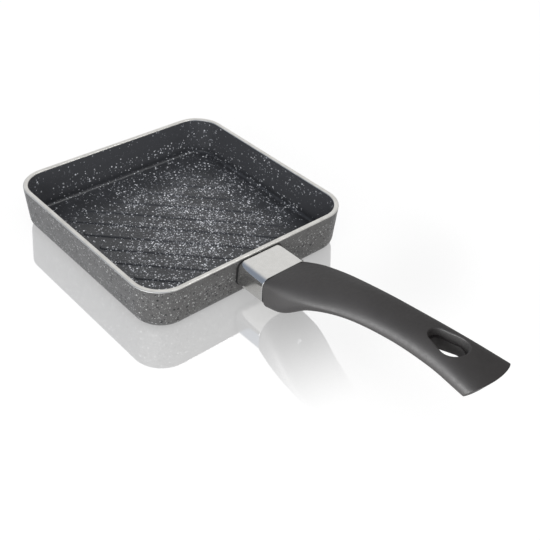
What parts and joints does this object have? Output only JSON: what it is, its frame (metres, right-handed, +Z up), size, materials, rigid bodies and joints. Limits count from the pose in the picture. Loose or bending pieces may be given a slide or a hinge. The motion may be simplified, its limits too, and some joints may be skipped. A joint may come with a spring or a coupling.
{
  "type": "square mini grill pan",
  "caption": "Small square grill pan with rounded corners, a low wall, diagonal ribs on its floor, a metal flame guard and a long domed grip with a hanging slot.",
  "frame": {"origin": "middle of the pan's flat base, on the surface that it stands on", "axes": "+X along the handle from the pan towards the grip's tip, +Z up out of the pan, +Y across the handle"},
  "size_m": [0.2896, 0.14, 0.0495],
  "materials": {
    "pan_coating": "satin",
    "bare_aluminium": "satin",
    "guard_steel": "satin",
    "seal_rubber": "matte",
    "grip_phenolic": "satin",
    "fixing_steel": "satin"
  },
  "bodies": {
    "root": {"pan_body": "pan_coating", "handle_bracket": "bare_aluminium", "neck_seal": "seal_rubber", "flame_guard": "guard_steel", "grip": "grip_phenolic", "handle_screw": "fixing_steel", "spring_washer": "fixing_steel", "plain_washer": "fixing_steel"}
  },
  "joints": []
}
